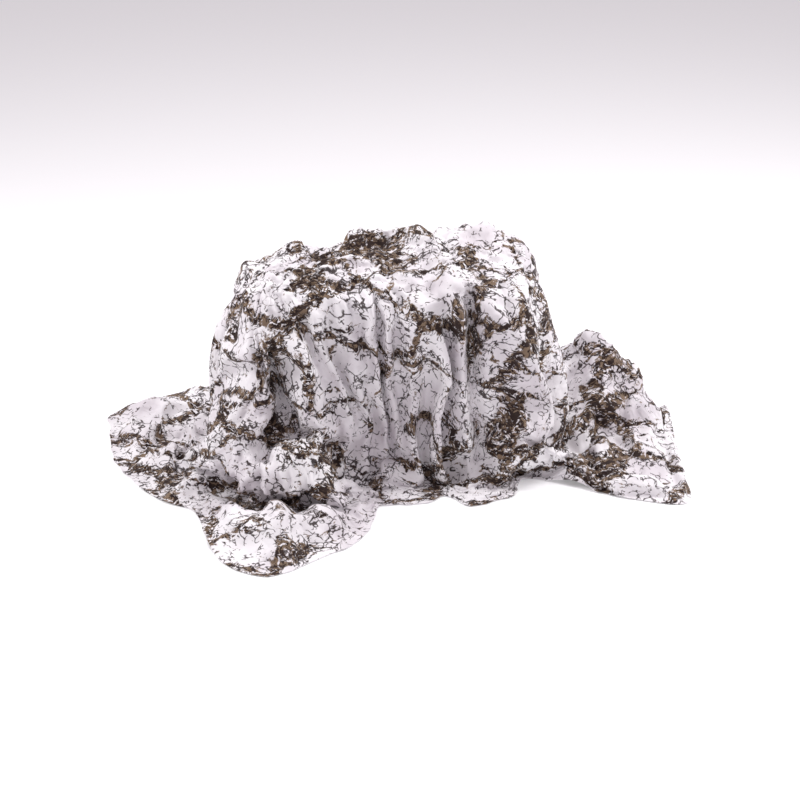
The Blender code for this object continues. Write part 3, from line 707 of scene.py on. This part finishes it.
class Nodes:
    """Short calls that add nodes to one material. A value is a number, a colour or another node's output."""

    def __init__(self, name):
        self.material = bpy.data.materials.new(name)
        self.material.use_nodes = True
        self.tree = self.material.node_tree
        self.shader = self.tree.nodes["Principled BSDF"]

    def add(self, kind, values=(), output=0, **settings):
        """A node of this kind, with its inputs set by name or number. Gives one of its outputs."""
        node = self.tree.nodes.new(kind)
        for name, value in settings.items():
            setattr(node, name, value)
        for place, value in dict(values).items():
            self.join(value, node.inputs[place])
        return node.outputs[output]

    def join(self, value, socket):
        if isinstance(value, bpy.types.NodeSocket):
            self.tree.links.new(value, socket)
        else:
            socket.default_value = value

    def math(self, operation, *values, clamp=False):
        return self.add("ShaderNodeMath", enumerate(values), operation=operation, use_clamp=clamp)

    def times(self, vector, factors):
        return self.add("ShaderNodeVectorMath", {0: vector, 1: factors}, operation="MULTIPLY")

    def noise(self, vector, scale, detail=2.0, roughness=0.5, colour=False):
        values = {"Vector": vector, "Scale": scale, "Detail": detail, "Roughness": roughness}
        return self.add("ShaderNodeTexNoise", values, output=1 if colour else 0)

    def cells(self, vector, scale, feature="DISTANCE_TO_EDGE", output=0):
        values = {"Vector": vector, "Scale": scale}
        return self.add("ShaderNodeTexVoronoi", values, output=output, feature=feature)

    def warped(self, vector, scale, reach, detail=2.0):
        """The vector, moved by up to about half of reach in ways that change over 1 / scale."""
        drift = self.noise(vector, scale, detail, colour=True)
        drift = self.add("ShaderNodeVectorMath", {0: drift, 1: (0.5, 0.5, 0.5)}, operation="SUBTRACT")
        drift = self.times(drift, (reach, reach, reach))
        return self.add("ShaderNodeVectorMath", {0: vector, 1: drift}, operation="ADD")

    def step(self, value, low, high, at_low=0.0, at_high=1.0):
        """at_low below low, at_high above high, and an even slope between them."""
        values = {"Value": value, "From Min": low, "From Max": high, "To Min": at_low, "To Max": at_high}
        return self.add("ShaderNodeMapRange", values, interpolation_type="SMOOTHSTEP")

    def mix(self, share, one, other):
        return self.add("ShaderNodeMix", {0: share, 6: one, 7: other}, output=2, data_type="RGBA")


def print_colour(nodes, place):
    """A generic snow camouflage: off-white ground, ragged brown bands, and near-black crackle and strokes.

    place is in metres. Gives the colour and how much ink lies there."""
    loose = nodes.warped(place, 8, 0.070, 3)
    torn = nodes.warped(loose, 42, 0.024, 5)
    # The bands follow the borders of cells that are longer than they are deep, and come and go.
    bands = nodes.cells(nodes.times(torn, (0.60, 0.9, 1)), 10.0)
    width = nodes.step(nodes.noise(place, 7.0, 2), 0.34, 0.60, -0.004, 0.102)
    fray = nodes.math("MULTIPLY", nodes.math("SUBTRACT", nodes.noise(torn, 60, 6, 0.75), 0.5), 0.24)
    depth = nodes.math("SUBTRACT", nodes.math("ADD", bands, fray), width)
    band = nodes.step(depth, -0.016, 0.010, 1.0, 0.0)
    # Short side branches.
    branches = nodes.cells(nodes.times(torn, (0.8, 1.0, 1)), 20)
    thin = nodes.step(nodes.noise(place, 12, 2), 0.52, 0.72, 0.0, 0.10)
    branches = nodes.math("ADD", branches, nodes.math("MULTIPLY", fray, 1.3))
    branch = nodes.step(nodes.math("SUBTRACT", branches, thin), -0.02, 0.015, 1.0, 0.0)
    brown = nodes.math("MAXIMUM", band, branch)
    # Inside a band the ink is mottled: gaps, taupe, brown and near-black.
    gaps = nodes.noise(nodes.times(nodes.warped(torn, 40, 0.03, 2), (0.55, 1.3, 1.3)), 115, 3, 0.6)
    brown = nodes.math("MULTIPLY", brown, nodes.step(gaps, 0.40, 0.44))
    dark = nodes.noise(nodes.times(nodes.warped(torn, 34, 0.04, 2), (0.5, 1.3, 1.3)), 90, 3, 0.65)
    tint = nodes.mix(nodes.noise(place, 30, 3), BROWN_DEEP, BROWN_LIGHT)
    ink = nodes.mix(nodes.step(dark, 0.47, 0.52), tint, BAND_DARK)
    # Crackle: broken thin lines on the borders of small cells.
    crackle = nodes.cells(nodes.warped(place, 34, 0.034, 4), 24)
    crackle = nodes.step(crackle, 0.012, 0.040, 1.0, 0.0)
    line = nodes.math("MULTIPLY", crackle, nodes.step(nodes.noise(place, 22, 2), 0.50, 0.56))
    # Loose curved strokes, coarse and fine, which crowd along the bands.
    near = nodes.step(depth, 0.0, 0.20, 0.085, -0.01)
    for kind in named(STROKE_COLUMNS, STROKES):
        drawn = nodes.times(nodes.warped(place, kind.scale / 2, 0.7 / kind.scale, 2), (kind.stretch, 1, 1))
        level = nodes.math("ABSOLUTE", nodes.math("SUBTRACT", nodes.noise(drawn, kind.scale, 2, 0.5), 0.5))
        stroke = nodes.step(level, kind.thickness * 0.35, kind.thickness, 1.0, 0.0)
        broken = nodes.math("ADD", nodes.noise(place, kind.scale * 0.9, 1), near)
        stroke = nodes.math("MULTIPLY", stroke, nodes.step(broken, kind.seldom, kind.seldom + 0.04))
        line = nodes.math("MAXIMUM", line, stroke)
    ground = nodes.mix(nodes.step(nodes.noise(place, 9, 4), 0.3, 0.6), CLOTH_DIM, CLOTH_PALE)
    colour = nodes.mix(brown, ground, ink)
    colour = nodes.mix(nodes.math("MULTIPLY", line, LINE_COVER), colour, LINE_DARK)
    return colour, nodes.math("MAXIMUM", brown, line)


def cloth_material():
    nodes = Nodes("snow_camouflage")
    flat = nodes.add("ShaderNodeUVMap", uv_map="flat")
    place = nodes.times(flat, (FLAT_WIDTH, FLAT_WIDTH, 0))
    to_hem = nodes.add("ShaderNodeSeparateXYZ", {0: nodes.add("ShaderNodeUVMap", uv_map="hem")})
    off_seam = nodes.math("ABSOLUTE", nodes.math("SUBTRACT", to_hem, HEM_WIDTH))
    start = nodes.add("ShaderNodeAttribute", attribute_name="start", output=1)
    colour, ink = print_colour(nodes, start)
    nodes.join(colour, nodes.shader.inputs["Base Color"])
    nodes.join(nodes.step(ink, 0.0, 1.0, 0.86, 0.74), nodes.shader.inputs["Roughness"])
    nodes.shader.inputs["Sheen Weight"].default_value = 0.05
    nodes.shader.inputs["Sheen Roughness"].default_value = 0.6
    nodes.shader.inputs["Specular IOR Level"].default_value = 0.16
    # Small creases, and under them the plain weave.
    creases = nodes.cells(nodes.warped(place, 18, 0.05, 2), 34)
    seam = nodes.step(off_seam, 0.0, HEM_FURROW)
    creases = nodes.math("MULTIPLY", nodes.step(creases, 0.0, 0.30), seam)
    crease_bump = nodes.add("ShaderNodeBump", {"Strength": 0.30, "Distance": 0.004, "Height": creases})
    wave = {"Vector": place, "Scale": WEAVE_SCALE}
    across, along = (nodes.add("ShaderNodeTexWave", wave, output=1, bands_direction=way) for way in "XY")
    weave = nodes.math("ADD", across, along)
    values = {"Strength": 0.12, "Distance": 0.0003, "Height": weave, "Normal": crease_bump}
    nodes.join(nodes.add("ShaderNodeBump", values), nodes.shader.inputs["Normal"])
    return nodes.material


def plain_material(name, colour, roughness, glow=0.0):
    nodes = Nodes(name)
    nodes.shader.inputs["Base Color"].default_value = (*colour, 1)
    nodes.shader.inputs["Roughness"].default_value = roughness
    nodes.shader.inputs["Emission Color"].default_value = (1, 1, 1, 1)
    nodes.shader.inputs["Emission Strength"].default_value = glow
    return nodes.material


# ---------------------------------------------------------------- camera, light and floor


def stage():
    bpy.ops.mesh.primitive_plane_add(size=FLOOR_SIZE, location=(0, 0, 0))
    floor = bpy.context.object
    floor.name = "floor"
    floor.data.materials.append(plain_material("pale_floor", FLOOR_COLOUR, 0.8, glow=FLOOR_GLOW))
    world = bpy.data.worlds.new("studio")
    world.use_nodes = True
    background = world.node_tree.nodes["Background"]
    background.inputs["Color"].default_value = (*ROOM_COLOUR, 1)
    background.inputs["Strength"].default_value = ROOM_STRENGTH
    bpy.context.scene.world = world
    bpy.context.scene.view_settings.view_transform = "Standard"
    for name, place, size, power in LIGHTS:
        light = bpy.data.lights.new(name, "AREA")
        light.energy, light.size = power, size
        lamp = bpy.data.objects.new(name, light)
        lamp.location = place
        lamp.rotation_euler = (LIGHTS_FACE - lamp.location).to_track_quat("-Z", "Y").to_euler()
        bpy.context.scene.collection.objects.link(lamp)


def camera():
    lens = bpy.data.cameras.new("camera")
    lens.lens = lens.sensor_width * FOCAL_WIDTHS
    thing = bpy.data.objects.new("camera", lens)
    back = Vector((0, -math.cos(CAMERA_ELEVATION), math.sin(CAMERA_ELEVATION)))
    thing.location = CAMERA_TARGET + back * CAMERA_DISTANCE
    thing.rotation_euler = (-back).to_track_quat("-Z", "Y").to_euler()
    bpy.context.scene.collection.objects.link(thing)
    bpy.context.scene.camera = thing


def finer(cloth, crumple):
    """Splits each face in four along a smooth surface, and raises small creases."""
    attribute = cloth.data.attributes.new("crumple", "FLOAT", "POINT")
    attribute.data.foreach_set("value", crumple)
    subdivision = cloth.modifiers.new("finer", "SUBSURF")
    subdivision.levels = subdivision.render_levels = 1
    mesh = bpy.data.meshes.new_from_object(cloth.evaluated_get(bpy.context.evaluated_depsgraph_get()))
    cloth.modifiers.clear()
    cloth.data = mesh
    count = len(mesh.vertices)
    places, normals, amount = np.empty(count * 3), np.empty(count * 3), np.empty(count)
    mesh.vertices.foreach_get("co", places)
    mesh.vertices.foreach_get("normal", normals)
    mesh.attributes["crumple"].data.foreach_get("value", amount)
    places, normals = places.reshape(-1, 3), normals.reshape(-1, 3)
    push = np.zeros(count)
    for size, depth in FINE_CREASES:
        for number, place in enumerate(places.tolist()):
            near, second = noise.voronoi(Vector(place) / size)[0][:2]
            push[number] += depth * min((second - near) / FINE_CELL_SLOPE, 1)
    places -= normals * (amount * (push - push.mean()))[:, None]
    places[:, 2] = np.maximum(places[:, 2], FLOOR_GAP)
    mesh.vertices.foreach_set("co", places.ravel())
    mesh.attributes.remove(mesh.attributes["crumple"])
    mesh.update()


camera()
stage()
sheet = sheet_before()
cloth = mesh_object("snow_cloth", settled(sheet), sheet.quads)
lay_flat(cloth, sheet)
cloth.data.materials.append(cloth_material())
finer(cloth, sheet.crumple)
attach(cloth, "root")
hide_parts("camouflage_cloth")
